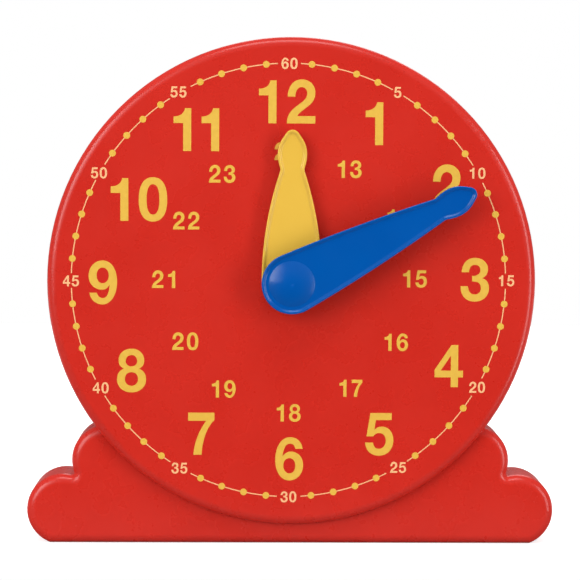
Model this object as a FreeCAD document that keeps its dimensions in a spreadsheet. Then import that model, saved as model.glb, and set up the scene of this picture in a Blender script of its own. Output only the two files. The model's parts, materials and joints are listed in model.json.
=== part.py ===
import FreeCAD, Part
import Sketcher
import math
import os
from fcgear import fcgear, involute

# Geared teaching clock: a round dial on a cloud-shaped foot, moulded as one hollow shell with a
# screwed back plate.  The minute and hour hands turn together through a 12:1 motion work.
#
# Frame: +Z is up, the dial faces -Y and +X is to its right.  The origin is the middle of the face
# that the foot rests on.  Depths are given as "front" values, the distance in front of the plane
# y = 0, so a point at front value f has y = -f.

Vector = FreeCAD.Vector
TURN = 2 * math.pi
ALONG_FRONT = Vector(0, -1, 0)
NEAR = 1e-3  # mm: two places closer than this are the same place
CHAMFER_SLOPE = math.radians(45)  # equal sides

SIZES = [
    # dial and foot, seen from the front
    ("dial_radius", 144, "round dial, outside"),
    ("dial_height", 156.3, "axis of the hands above the resting face"),
    ("foot_lobe_radius", 21.3, "outer, lower lobe of the foot"),
    ("foot_lobe_x", 135.6, "centre of the lower lobe from the middle"),
    ("foot_lobe_height", 19.9, "centre of the lower lobe above the resting face"),
    ("brow_lobe_radius", 21, "inner, upper lobe of the foot"),
    ("brow_lobe_x", 109.1, "centre of the upper lobe from the middle"),
    ("brow_lobe_height", 49.6, "centre of the upper lobe above the resting face"),
    ("valley_radius", 1.5, "rounding of the notch between two lobes"),
    # depth of the shell
    ("rear_depth", 18, "back of the shell behind y = 0"),
    ("foot_front", 18, "front face of the foot before y = 0"),
    ("dial_step", 6, "dial face before the face of the foot"),
    ("edge_radius", 5.5, "rounding of the front edges"),
    ("wall", 2.5, "wall of the shell"),
    ("cover_thickness", 2.5, "back plate"),
    ("cover_gap", 0.2, "back plate to shell, all round"),
    # screws: one size is used throughout
    ("screw_radius", 1.7, "shank of a self-tapping screw"),
    ("screw_length", 12, "shank under the head"),
    ("screw_head_radius", 3.4, "pan head"),
    ("screw_head_height", 2.4, "pan head"),
    ("screw_slack", 0.25, "radial room in a clearance hole"),
    ("thread_room", 0.05, "radial room round a shank in its pilot hole"),
    ("pilot_spare", 1.5, "pilot hole beyond the end of the screw"),
    ("drive_slot", 0.9, "width of the cross slot in a head"),
    ("drive_reach", 2, "cross slot from the middle of a head"),
    ("drive_depth", 1.2, "cross slot"),
    # bosses that take the cover screws
    ("boss_radius", 4.5, "screw boss"),
    ("boss_inset", 13, "bosses of the dial from its outside"),
    ("boss_count", 6, "bosses round the dial"),
    ("boss_rib", 2, "rib between a boss and the wall"),
    ("well_depth", 3, "screw well in the back plate"),
    ("well_radius", 6.2, "outside of a screw well"),
    ("head_room", 0.8, "radial room round a head in its well"),
    # stiffening
    ("rib_sink", 0.5, "how far ribs and bosses run into the wall that they stand on"),
    ("ring_rib_radius", 82, "ring rib inside dial and back plate"),
    ("ring_rib_width", 2, "ring rib"),
    ("ring_rib_height", 3, "ring rib"),
    # motion work
    ("gear_module", 1, "all wheels and pinions"),
    ("tooth_unit", 3, "teeth are 5, 15, 4 and 16 times this number"),
    ("pressure_angle", 20, "degrees"),
    ("mesh_room", 0.22, "added to the centre distance for backlash"),
    ("wheel_width", 4, "hour wheel and intermediate wheel"),
    ("pinion_width", 5, "minute pinion"),
    ("web_holes", 5, "lightening holes in a wheel"),
    ("web_margin", 2, "solid ring of a wheel round its bore and under its teeth"),
    ("play", 0.05, "axial play beside each turning piece"),
    ("bearing_room", 0.05, "radial running clearance on every bearing"),
    ("arbor_radius", 3, "minute arbor"),
    ("arbor_tail", 2.6, "minute arbor behind its clip"),
    ("flat_depth", 0.8, "driving flats on arbor, pipe and pinion shank"),
    ("pipe_radius", 5.5, "hour pipe, outside"),
    ("stud_radius", 2.5, "intermediate stud"),
    ("stud_socket", 5, "stud in its boss behind the dial"),
    ("stud_boss_radius", 6, "boss of the stud"),
    ("shank_radius", 4.3, "shank of the intermediate pinion in its wheel"),
    ("bush_radius", 7.5, "dial bush"),
    ("bush_flange_radius", 10.5, "flange of the dial bush"),
    ("bush_flange", 1, "flange thickness"),
    ("bush_proud", 0.6, "dial bush before the dial face"),
    ("bush_boss_radius", 12, "boss round the dial bush"),
    ("bush_boss_height", 6, "boss behind the dial wall"),
    ("washer_thickness", 0.5, "thrust washers"),
    ("wheel_gap", 1, "hour wheel to the wheel behind it"),
    ("spring_room", 1, "minute pinion to bridge, for the dished washer"),
    ("spring_thickness", 0.35, "dished friction washer"),
    ("spring_radius", 7, "dished friction washer"),
    ("spring_slack", 0.25, "radial room of the dished washer round the arbor"),
    ("clip_radius", 5.5, "retaining clip of the arbor"),
    ("clip_thickness", 0.8, "retaining clip"),
    ("clip_groove", 0.7, "depth of the clip's groove"),
    ("clip_mouth", 1.7, "half width of the clip's opening"),
    # bridge behind the motion work
    ("bridge_thickness", 3, "bridge plate"),
    ("bridge_half_width", 43, "bridge plate"),
    ("bridge_above", 33, "top of the plate above the hands' axis"),
    ("bridge_below", 57, "bottom of the plate below the hands' axis"),
    ("bridge_corner", 7, "corner radius"),
    ("pillar_radius", 5, "pillar that carries the bridge"),
    ("pillar_inset", 7.5, "pillar centre from the edges of the plate"),
    ("bearing_boss_radius", 6, "bearing bosses on the back of the bridge"),
    ("bearing_boss_height", 1, "bearing bosses on the back of the bridge"),
    # hands
    ("hub_radius", 17.7, "round end of both hands"),
    ("hub_boss_radius", 9, "boss on the back of a hand"),
    ("hand_plate", 3, "thickness of a hand at its rim"),
    ("hand_recess", 1, "depth of the floor inside the rim"),
    ("rim_rounding", 0.5, "outer front edge of the rim"),
    ("rim_land", 0.2, "flat on top of the rim"),
    ("rim_softness", 1.3, "rounding at the top and foot of the rim's inner slope"),
    ("neck_half_width", 6.8, "neck before the pointer end"),
    ("neck_rounding", 4, "concave corners of the neck"),
    ("belly_half_width", 8.55, "widest place of the pointer end"),
    ("lower_belly_radius", 24, "side of the pointer end below its widest place"),
    ("upper_belly_radius", 16, "side of the pointer end above its widest place"),
    ("nose_radius", 4.4, "blunt end of a hand"),
    ("tip_from_neck", 23.1, "end of a hand"),
    ("hour_neck", 66.6, "neck of the hour hand from the axis"),
    ("hour_side_radius", 207, "bowed side of the hour hand"),
    ("minute_neck", 97, "neck of the minute hand from the axis"),
    ("minute_side_radius", 1020, "bowed side of the minute hand"),
    ("hour_hand_gap", 3, "hour hand before the dial face"),
    ("hour_hub_gap", 0.3, "hour hand's boss before the dial bush"),
    ("minute_hand_gap", 3.5, "minute hand before the hour hand"),
    ("minute_hub_gap", 0.5, "minute hand's boss before the hour pipe"),
    ("pipe_proud", 0.2, "hour pipe before the hour hand"),
    ("dome_radius", 13.4, "raised dome over the minute hand's hub"),
    ("dome_crown", 2.9, "crown of the dome before the floor of the hand"),
    ("dome_wall", 2.5, "material before the end of the arbor"),
    # rest pose, clockwise from twelve in degrees
    ("minute_angle", 63, "minute hand"),
    ("hour_angle", 0, "hour hand"),
]

# Places that follow from the sizes: first the notch between two lobes of the foot, measured from
# the line through their centres, then front values from the dial backwards and forwards.
PLACES = [
    ("lobe_run", "sizes.foot_lobe_x - sizes.brow_lobe_x"),
    ("lobe_rise", "sizes.brow_lobe_height - sizes.foot_lobe_height"),
    ("lobe_distance", "sqrt(lobe_run ^ 2 + lobe_rise ^ 2)"),
    ("notch_along", "(lobe_distance ^ 2 + sizes.foot_lobe_radius ^ 2 - sizes.brow_lobe_radius ^ 2)"
                    " / (2 * lobe_distance)"),
    ("notch_out", "sqrt(sizes.foot_lobe_radius ^ 2 - notch_along ^ 2)"),
    ("dial_front", "sizes.foot_front + sizes.dial_step"),
    ("dial_back", "dial_front - sizes.wall"),
    ("foot_back", "sizes.foot_front - sizes.wall"),
    ("cover_back", "-sizes.rear_depth"),
    ("cover_front", "cover_back + sizes.cover_thickness"),
    ("boss_end", "cover_back + sizes.well_depth + sizes.wall"),
    ("boss_circle", "sizes.dial_radius - sizes.boss_inset"),
    ("screw_seat", "cover_back + sizes.well_depth"),
    ("train_front", "dial_back - sizes.bush_boss_height"),
    ("flange_back", "train_front - sizes.bush_flange"),
    ("hour_washer_back", "flange_back - sizes.play - sizes.washer_thickness"),
    ("hour_wheel_front", "hour_washer_back - sizes.play"),
    ("hour_wheel_back", "hour_wheel_front - sizes.wheel_width"),
    ("stud_washer_back", "train_front - sizes.play - sizes.washer_thickness"),
    ("wheel_front", "hour_wheel_back - sizes.wheel_gap"),
    ("wheel_back", "wheel_front - sizes.wheel_width"),
    ("pinion_back", "wheel_front - sizes.pinion_width"),
    ("bridge_front", "pinion_back - sizes.spring_room"),
    ("bridge_back", "bridge_front - sizes.bridge_thickness"),
    ("bearing_back", "bridge_back - sizes.bearing_boss_height"),
    ("clip_washer_back", "bearing_back - sizes.play - sizes.washer_thickness"),
    ("clip_front", "clip_washer_back - sizes.play"),
    ("clip_back", "clip_front - sizes.clip_thickness"),
    ("arbor_back", "clip_back - sizes.arbor_tail"),
    ("bush_front", "dial_front + sizes.bush_proud"),
    ("hour_boss_back", "bush_front + sizes.hour_hub_gap"),
    ("hour_hand_back", "dial_front + sizes.hour_hand_gap"),
    ("hour_hand_front", "hour_hand_back + sizes.hand_plate"),
    ("pipe_front", "hour_hand_front + sizes.pipe_proud"),
    ("minute_boss_back", "pipe_front + sizes.minute_hub_gap"),
    ("minute_hand_back", "hour_hand_front + sizes.minute_hand_gap"),
    ("minute_hand_front", "minute_hand_back + sizes.hand_plate"),
    ("dome_foot", "minute_hand_front - sizes.hand_recess"),
    ("dome_front", "dome_foot + sizes.dome_crown"),
    ("arbor_front", "dome_front - sizes.dome_wall"),
    ("centre_distance", "10 * sizes.tooth_unit * sizes.gear_module + sizes.mesh_room"),
    ("stud_height", "sizes.dial_height - centre_distance"),
    ("pillar_x", "sizes.bridge_half_width - sizes.pillar_inset"),
    ("pillar_top", "sizes.dial_height + sizes.bridge_above - sizes.pillar_inset"),
    ("pillar_bottom", "sizes.dial_height - sizes.bridge_below + sizes.pillar_inset"),
    ("pilot_radius", "sizes.screw_radius + sizes.thread_room"),
    ("clearance_radius", "sizes.screw_radius + sizes.screw_slack"),
    ("bore_of_pipe", "sizes.arbor_radius + sizes.bearing_room"),
    ("bore_of_bush", "sizes.pipe_radius + sizes.bearing_room"),
    ("bore_of_pinion", "sizes.stud_radius + sizes.bearing_room"),
]

doc = FreeCAD.newDocument("teaching_clock")
parts = []


def fill_sheet(name, rows, prefix=""):
    """A spreadsheet whose column B holds the values of the rows, each with its alias."""
    sheet = doc.addObject("Spreadsheet::Sheet", name)
    for index, row in enumerate(rows, start=1):
        sheet.set("A%d" % index, row[0])
        sheet.set("B%d" % index, prefix + str(row[1]))
        sheet.setAlias("B%d" % index, row[0])
        if len(row) > 2:
            sheet.set("C%d" % index, row[2])
    doc.recompute()
    return sheet


sizes = fill_sheet("sizes", SIZES)
places = fill_sheet("places", PLACES, "=")


def value(expression):
    """The number that an expression over the two sheets gives now."""
    return float(sizes.evalExpression(expression))


# ---- sketches --------------------------------------------------------------------------------


def origin_plane(body, role):
    return next(item for item in body.Origin.OriginFeatures if item.Role == role)


def new_sketch(body, name, role, offset="0", up="0", across="0"):
    """A sketch on one of the body's own planes, `offset` out of it, with its origin moved in it."""
    sketch = body.newObject("Sketcher::SketchObject", name)
    sketch.AttachmentSupport = [(origin_plane(body, role), "")]
    sketch.MapMode = "FlatFace"
    for axis, expression in (("x", across), ("y", up), ("z", offset)):
        sketch.setExpression(".AttachmentOffset.Base." + axis, expression)
    return sketch


def hold(sketch, kind, geometry, point, expression):
    """Ties one point's distance from the sketch's origin, along X or Y, to an expression."""
    index = sketch.addConstraint(Sketcher.Constraint(kind, -1, 1, geometry, point, value(expression)))
    sketch.setExpression("Constraints[%d]" % index, expression)


def circle(sketch, across, up, radius):
    middle = Vector(value(across), value(up), 0)
    ring = sketch.addGeometry(Part.Circle(middle, Vector(0, 0, 1), value(radius)), False)
    hold(sketch, "DistanceX", ring, 3, across)
    hold(sketch, "DistanceY", ring, 3, up)
    index = sketch.addConstraint(Sketcher.Constraint("Radius", ring, value(radius)))
    sketch.setExpression("Constraints[%d]" % index, radius)


def polygon(sketch, corners):
    """A closed outline of straight lines whose corners are pairs of expressions."""
    points = [Vector(value(across), value(up), 0) for across, up in corners]
    first = sketch.GeometryCount
    count = len(points)
    for index in range(count):
        sketch.addGeometry(Part.LineSegment(points[index], points[(index + 1) % count]), False)
    for index in range(count):
        following = first + (index + 1) % count
        sketch.addConstraint(Sketcher.Constraint("Coincident", first + index, 2, following, 1))
    for index, (across, up) in enumerate(corners):
        hold(sketch, "DistanceX", first + index, 1, across)
        hold(sketch, "DistanceY", first + index, 1, up)


def rectangle(sketch, left, right, bottom, top):
    polygon(sketch, [(left, bottom), (right, bottom), (right, top), (left, top)])


# ---- features --------------------------------------------------------------------------------


def new_body(label, across="0", up="0"):
    """A body, moved from the middle to its place in the front view."""
    body = doc.addObject("PartDesign::Body", label)
    body.Label = label
    body.setExpression(".Placement.Base.x", across)
    body.setExpression(".Placement.Base.z", up)
    return body


def add_slab(body, name, back, front, draw, **where):
    """Adds material between two front values, with the outline that `draw` puts in the sketch."""
    sketch = new_sketch(body, name + "_outline", "XZ_Plane", offset=back, **where)
    draw(sketch)
    pad = body.newObject("PartDesign::Pad", name)
    pad.Profile = sketch
    pad.setExpression("Length", "(%s) - (%s)" % (front, back))
    doc.recompute()
    return pad


def cut_slab(body, name, back, front, draw, **where):
    """Takes material away between two front values, and makes sure that something was cut."""
    before = body.Shape.Volume
    sketch = new_sketch(body, name + "_outline", "XZ_Plane", offset=front, **where)
    draw(sketch)
    pocket = body.newObject("PartDesign::Pocket", name)
    pocket.Profile = sketch
    pocket.setExpression("Length", "(%s) - (%s)" % (front, back))
    doc.recompute()
    if body.Shape.Volume >= before:
        raise RuntimeError("%s cut nothing from %s" % (name, body.Label))
    return pocket


def turn(body, name, corners):
    """Revolves a profile of (radius, front) expressions round the body's own Y axis."""
    sketch = new_sketch(body, name + "_profile", "XY_Plane")
    polygon(sketch, [(radius, "-(%s)" % front) for radius, front in corners])
    revolution = body.newObject("PartDesign::Revolution", name)
    revolution.Profile = sketch
    revolution.ReferenceAxis = (sketch, ["V_Axis"])
    revolution.Angle = 360
    doc.recompute()
    return revolution


def round_edges(body, name, chosen, radius):
    """Rounds every edge of the body for which `chosen` is true."""
    tip = body.Tip
    names = ["Edge%d" % (index + 1) for index, edge in enumerate(tip.Shape.Edges) if chosen(edge)]
    if not names:
        raise RuntimeError("no edge to round for %s" % name)
    fillet = body.newObject("PartDesign::Fillet", name)
    fillet.Base = (tip, names)
    fillet.setExpression("Radius", radius)
    doc.recompute()
    return fillet


def on_front_plane(front):
    """Chooses the edges that lie in the plane of one front value."""
    plane = -value(front)

    def chosen(edge):
        box = edge.BoundBox
        return abs(box.YMin - plane) < NEAR and abs(box.YMax - plane) < NEAR

    return chosen


def driving_flat(body, name, radius, back, front):
    """Cuts the flat that keys a round shaft, on the side that the hand points to."""
    low = "(%s) - sizes.flat_depth" % radius
    outside = "2 * (%s)" % radius
    cut_slab(body, name, back, front,
             lambda sketch: rectangle(sketch, "-" + outside, outside, low, outside))


# ---- pieces made by Part's own functions -----------------------------------------------------


def disc_solid(radius, back, front, across=0.0, up=0.0):
    start = Vector(across, -back, up)
    return Part.makeCylinder(radius, front - back, start, ALONG_FRONT)


def keyed_solid(radius, flat, back, front):
    """A round shaft with one flat on its upper side, as a tool for the bore that it drives."""
    width = 4 * radius
    keep = Part.makeBox(width, front - back, width)
    keep.translate(Vector(-width / 2, -front, radius - flat - width))
    return disc_solid(radius, back, front).common(keep)


def gear_blank(teeth, back, front, tooth_at):
    """An involute gear between two front values, with one tooth centred at an angle.

    The angle is measured clockwise from twelve, in turns of the front view."""
    builder = fcgear.FCWireBuilder()
    involute.CreateExternalGear(builder, value("sizes.gear_module"), teeth,
                                value("sizes.pressure_angle"), True)
    face = Part.Face(Part.Wire([edge.toShape() for edge in builder.wire]))
    gear = face.extrude(Vector(0, 0, front - back))
    gear.rotate(Vector(0, 0, 0), Vector(0, 0, 1), 90 - 360 * tooth_at)
    gear.rotate(Vector(0, 0, 0), Vector(1, 0, 0), 90)
    gear.translate(Vector(0, -back, 0))
    return gear


def keep_feature(label, shape, across="0", up="0", angle="0"):
    """Puts a finished shape in the document and moves it to its place in the front view."""
    feature = doc.addObject("Part::Feature", label)
    feature.Label = label
    feature.Shape = shape
    turned = FreeCAD.Rotation(Vector(0, 1, 0), value(angle))
    feature.Placement = FreeCAD.Placement(Vector(value(across), 0, value(up)), turned)
    parts.append(feature)
    return feature


def keep_body(body):
    parts.append(body)
    return body


# ---- the shell -------------------------------------------------------------------------------

MIDDLE = "sizes.dial_height"


def add_foot(body, inset, back, front):
    """The cloud-shaped foot between two front values, drawn in by `inset` on every side.

    Its middle is a polygon whose sloping sides run just inside the notches between the lobes."""
    out = "(places.notch_out - sizes.valley_radius - (%s)) / places.lobe_distance" % inset
    corners = [("sizes.foot_lobe_x", "0")]
    corners += [("sizes.%s_x + places.lobe_rise * %s" % (lobe, out),
                 "sizes.%s_height + places.lobe_run * %s" % (lobe, out))
                for lobe in ("foot_lobe", "brow_lobe")]
    corners += [("-(%s)" % across, height) for across, height in corners[::-1]]
    add_slab(body, "foot_middle", back, front, lambda sketch: polygon(sketch, corners))
    for lobe in ("foot_lobe", "brow_lobe"):
        radius = "sizes.%s_radius - (%s)" % (lobe, inset)
        for side in ("-", ""):
            across = "%ssizes.%s_x" % (side, lobe)
            height = "sizes.%s_height" % lobe
            add_slab(body, lobe, back, front,
                     lambda sketch: circle(sketch, across, height, radius))
    reach = "(sizes.foot_lobe_x + sizes.foot_lobe_radius)"
    cut_slab(body, "resting_plane", back, front, lambda sketch: rectangle(
        sketch, "-" + reach, reach, "-sizes.foot_lobe_radius", inset))


def add_dial(body, inset, back, front):
    """The round dial between two front values, drawn in by `inset`."""
    return add_slab(body, "dial", back, front,
                    lambda sketch: circle(sketch, "0", MIDDLE, "sizes.dial_radius - (%s)" % inset))


def in_valley(edge):
    """Chooses the straight edges where the outlines of two neighbouring lobes meet."""
    box = edge.BoundBox
    if box.XLength > NEAR or box.ZLength > NEAR:
        return False
    for lobe in ("foot_lobe", "brow_lobe"):
        across = abs(box.XMin) - value("sizes.%s_x" % lobe)
        up = box.ZMin - value("sizes.%s_height" % lobe)
        if abs(math.hypot(across, up) - value("sizes.%s_radius" % lobe)) > NEAR:
            return False
    return True


def cut_with(body, tool):
    """Takes another body's shape away from this one."""
    before = body.Shape.Volume
    boolean = body.newObject("PartDesign::Boolean", tool.Label + "_cut")
    boolean.Type = "Cut"
    boolean.addObject(tool)
    doc.recompute()
    if body.Shape.Volume >= before:
        raise RuntimeError("%s cut nothing from %s" % (tool.Label, body.Label))
    return boolean


def repeat_round_dial(body, features):
    """Repeats features of the twelve o'clock screw at every screw of the dial."""
    pattern = body.newObject("PartDesign::PolarPattern", "dial_screws")
    pattern.Originals = features
    pattern.Axis = (features[0].Profile[0], ["N_Axis"])
    pattern.Angle = 360
    pattern.setExpression("Occurrences", "sizes.boss_count")
    body.Tip = pattern
    doc.recompute()
    return pattern


def at_screw(radius):
    """Draws a circle at the twelve o'clock screw, in a sketch whose origin is the dial's axis."""
    return lambda sketch: circle(sketch, "0", "places.boss_circle", radius)


def at_foot_screws(radius):
    """Draws a circle in the middle of each lower lobe."""

    def draw(sketch):
        for side in ("-", ""):
            circle(sketch, side + "sizes.foot_lobe_x", "sizes.foot_lobe_height", radius)

    return draw


def ring_rib(body, back, front):
    def draw(sketch):
        circle(sketch, "0", MIDDLE, "sizes.ring_rib_radius")
        circle(sketch, "0", MIDDLE, "sizes.ring_rib_radius - sizes.ring_rib_width")

    add_slab(body, "ring_rib", back, front, draw)


def at_pillars(radius):
    """Draws a circle at each of the four pillars of the bridge."""

    def draw(sketch):
        for across in ("-places.pillar_x", "places.pillar_x"):
            for height in ("places.pillar_bottom", "places.pillar_top"):
                circle(sketch, across, height, radius)

    return draw


def front_housing():
    """The moulded shell: foot, dial, screw bosses, and what carries the motion work."""
    hollow = new_body("foot_hollow")
    add_foot(hollow, "sizes.wall", "places.cover_back", "places.foot_back")
    recess = new_body("cover_recess")
    add_foot(recess, "sizes.wall", "places.cover_back", "places.cover_front")
    add_dial(recess, "sizes.wall", "places.cover_back", "places.cover_front")

    body = new_body("front_housing")
    add_foot(body, "0", "places.cover_back", "sizes.foot_front")
    round_edges(body, "valleys", in_valley, "sizes.valley_radius")
    round_edges(body, "foot_edge", on_front_plane("sizes.foot_front"), "sizes.edge_radius")
    cut_with(body, hollow)
    add_dial(body, "0", "places.cover_back", "places.dial_front")
    round_edges(body, "dial_edge", on_front_plane("places.dial_front"), "sizes.edge_radius")
    cut_slab(body, "dial_hollow", "places.cover_back", "places.dial_back",
             lambda sketch: circle(sketch, "0", MIDDLE, "sizes.dial_radius - sizes.wall"))
    round_edges(body, "dial_inner_edge", on_front_plane("places.dial_back"),
                "sizes.edge_radius - sizes.wall")
    cut_with(body, recess)

    in_dial = "places.dial_back + sizes.rib_sink"
    in_foot = "places.foot_back + sizes.rib_sink"
    hole_end = "places.screw_seat + sizes.screw_length + sizes.pilot_spare"
    boss = add_slab(body, "dial_boss", "places.boss_end", in_dial, at_screw("sizes.boss_radius"),
                    up=MIDDLE)
    rib = add_slab(body, "dial_boss_rib", "places.boss_end", in_dial, lambda sketch: rectangle(
        sketch, "-sizes.boss_rib / 2", "sizes.boss_rib / 2", "places.boss_circle",
        "sizes.dial_radius - sizes.wall + sizes.rib_sink"), up=MIDDLE)
    hole = cut_slab(body, "dial_pilot_hole", "places.boss_end", hole_end,
                    at_screw("places.pilot_radius"), up=MIDDLE)
    repeat_round_dial(body, [boss, rib, hole])
    add_slab(body, "foot_boss", "places.boss_end", in_foot, at_foot_screws("sizes.boss_radius"))
    cut_slab(body, "foot_pilot_hole", "places.boss_end", hole_end,
             at_foot_screws("places.pilot_radius"))
    ring_rib(body, "places.dial_back - sizes.ring_rib_height", in_dial)

    add_slab(body, "bush_boss", "places.train_front", in_dial,
             lambda sketch: circle(sketch, "0", MIDDLE, "sizes.bush_boss_radius"))
    cut_slab(body, "bush_seat", "places.train_front", "places.dial_front",
             lambda sketch: circle(sketch, "0", MIDDLE, "sizes.bush_radius"))
    add_slab(body, "stud_boss", "places.train_front", in_dial,
             lambda sketch: circle(sketch, "0", "places.stud_height", "sizes.stud_boss_radius"))
    cut_slab(body, "stud_seat", "places.train_front", "places.train_front + sizes.stud_socket",
             lambda sketch: circle(sketch, "0", "places.stud_height", "sizes.stud_radius"))
    add_slab(body, "pillars", "places.bridge_front", in_dial, at_pillars("sizes.pillar_radius"))
    cut_slab(body, "pillar_pilot_holes", "places.bridge_front",
             "places.bridge_back + sizes.screw_length + sizes.pilot_spare",
             at_pillars("places.pilot_radius"))
    return keep_body(body)


def rear_cover():
    """The back plate in its recess, with a ring rib inside and a well for every screw."""
    inset = "sizes.wall + sizes.cover_gap"
    body = new_body("rear_cover")
    add_foot(body, inset, "places.cover_back", "places.cover_front")
    add_dial(body, inset, "places.cover_back", "places.cover_front")
    in_plate = "places.cover_front - sizes.rib_sink"
    ring_rib(body, in_plate, "places.cover_front + sizes.ring_rib_height")
    well = "sizes.screw_head_radius + sizes.head_room"
    steps = [("well", add_slab, in_plate, "places.boss_end", "sizes.well_radius"),
             ("well_room", cut_slab, "places.cover_back", "places.screw_seat", well),
             ("screw_hole", cut_slab, "places.screw_seat", "places.boss_end",
              "places.clearance_radius")]
    for name, make, back, front, radius in steps:
        make(body, "foot_" + name, back, front, at_foot_screws(radius))
    repeat_round_dial(body, [make(body, "dial_" + name, back, front, at_screw(radius), up=MIDDLE)
                             for name, make, back, front, radius in steps])
    return keep_body(body)


def screw():
    """One pan-head self-tapping screw, its seat at front value 0 and its point to the front."""
    body = new_body("screw")
    dome = "sizes.screw_head_height / 3"
    turn(body, "blank", [
        ("0", "-sizes.screw_head_height"),
        ("sizes.screw_head_radius - " + dome, "-sizes.screw_head_height"),
        ("sizes.screw_head_radius", "-sizes.screw_head_height + " + dome),
        ("sizes.screw_head_radius", "0"),
        ("sizes.screw_radius", "0"),
        ("sizes.screw_radius", "sizes.screw_length - sizes.screw_radius"),
        ("sizes.screw_radius / 3", "sizes.screw_length"),
        ("0", "sizes.screw_length")])
    arm, half = "sizes.drive_reach", "sizes.drive_slot / 2"
    for name, across, up in (("slot_across", arm, half), ("slot_up", half, arm)):
        cut_slab(body, name, "-sizes.screw_head_height",
                 "-sizes.screw_head_height + sizes.drive_depth",
                 lambda sketch: rectangle(sketch, "-" + across, across, "-" + up, up))
    return body


def screw_group(label, master, seat, centres):
    """Copies of one screw at (across, up) centres, as the separate solids of one group."""
    copies = [master.Shape.translated(Vector(across, -value(seat), up)) for across, up in centres]
    return keep_feature(label, Part.makeCompound(copies))


def cover_screws(master):
    count = round(value("sizes.boss_count"))
    ring = value("places.boss_circle")
    centres = [(ring * math.sin(TURN * index / count),
                value(MIDDLE) + ring * math.cos(TURN * index / count)) for index in range(count)]
    foot = value("sizes.foot_lobe_height")
    centres += [(side * value("sizes.foot_lobe_x"), foot) for side in (-1, 1)]
    return screw_group("cover_screws", master, "places.screw_seat", centres)


def bridge_screws(master):
    centres = [(side * value("places.pillar_x"), value(up))
               for side in (-1, 1) for up in ("places.pillar_bottom", "places.pillar_top")]
    return screw_group("bridge_screws", master, "places.bridge_back", centres)


# ---- what carries the motion work ------------------------------------------------------------


def movement_bridge():
    """The plate behind the wheels that holds the rear ends of arbor and stud."""
    body = new_body("movement_bridge")
    half = "sizes.bridge_half_width"
    add_slab(body, "plate", "places.bridge_back", "places.bridge_front",
             lambda sketch: rectangle(sketch, "-" + half, half,
                                      "sizes.dial_height - sizes.bridge_below",
                                      "sizes.dial_height + sizes.bridge_above"))
    round_edges(body, "corners",
                lambda edge: edge.BoundBox.XLength < NEAR and edge.BoundBox.ZLength < NEAR,
                "sizes.bridge_corner")
    for name, up, bore in (("arbor", MIDDLE, "places.bore_of_pipe"),
                           ("stud", "places.stud_height", "sizes.stud_radius")):
        add_slab(body, name + "_boss", "places.bearing_back",
                 "places.bridge_back + sizes.rib_sink",
                 lambda sketch: circle(sketch, "0", up, "sizes.bearing_boss_radius"))
        cut_slab(body, name + "_bore", "places.bearing_back", "places.bridge_front",
                 lambda sketch: circle(sketch, "0", up, bore))
    cut_slab(body, "screw_holes", "places.bridge_back", "places.bridge_front",
             at_pillars("places.clearance_radius"))
    return keep_body(body)


def ring(label, inner, outer, back, front, up=MIDDLE):
    """A plain ring round an axis of the motion work."""
    body = new_body(label, up=up)
    turn(body, label + "_ring", [(inner, back), (outer, back), (outer, front), (inner, front)])
    return keep_body(body)


def dial_bush():
    """The bearing of the hour pipe, pressed into the dial from behind up to its flange."""
    body = new_body("dial_bush", up=MIDDLE)
    bore = "places.bore_of_bush"
    turn(body, "bush", [
        (bore, "places.flange_back"), ("sizes.bush_flange_radius", "places.flange_back"),
        ("sizes.bush_flange_radius", "places.train_front"),
        ("sizes.bush_radius", "places.train_front"),
        ("sizes.bush_radius", "places.bush_front"), (bore, "places.bush_front")])
    return keep_body(body)


def intermediate_stud():
    """The fixed pin of the intermediate wheel, from its boss on the dial to the bridge."""
    body = new_body("intermediate_stud", up="places.stud_height")
    add_slab(body, "pin", "places.bearing_back", "places.train_front + sizes.stud_socket",
             lambda sketch: circle(sketch, "0", "0", "sizes.stud_radius"))
    return keep_body(body)


def friction_washer():
    """A dished spring washer that presses the minute arbor's clip against the bridge."""
    body = new_body("friction_washer", up=MIDDLE)
    inner = "sizes.arbor_radius + sizes.spring_slack"
    high = "places.pinion_back - sizes.play"
    low = "places.bridge_front + sizes.play"
    turn(body, "dish", [
        (inner, high + " - sizes.spring_thickness"), ("sizes.spring_radius", low),
        ("sizes.spring_radius", low + " + sizes.spring_thickness"), (inner, high)])
    return keep_body(body)


# ---- pieces that turn with the minute hand ---------------------------------------------------


def turn_with_hand(body, angle):
    """Turns a body that is modelled pointing to twelve to the rest pose of its hand."""
    body.Placement = FreeCAD.Placement(body.Placement.Base, FreeCAD.Rotation(Vector(0, 1, 0), 1))
    body.setExpression(".Placement.Rotation.Angle", angle)
    return body


def minute_arbor():
    """The steel arbor that carries the minute hand in front and the minute pinion behind."""
    body = turn_with_hand(new_body("minute_arbor", up=MIDDLE), "sizes.minute_angle")
    radius = "sizes.arbor_radius"
    groove = "sizes.arbor_radius - sizes.clip_groove"
    turn(body, "rod", [
        ("0", "places.arbor_back"), (groove, "places.arbor_back"),
        (radius, "places.arbor_back + sizes.clip_groove"), (radius, "places.clip_back"),
        (groove, "places.clip_back"), (groove, "places.clip_front"),
        (radius, "places.clip_front"), (radius, "places.arbor_front"),
        ("0", "places.arbor_front")])
    driving_flat(body, "hand_flat", radius, "places.minute_boss_back", "places.arbor_front")
    driving_flat(body, "pinion_flat", radius, "places.pinion_back", "places.wheel_front")
    return keep_body(body)


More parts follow.
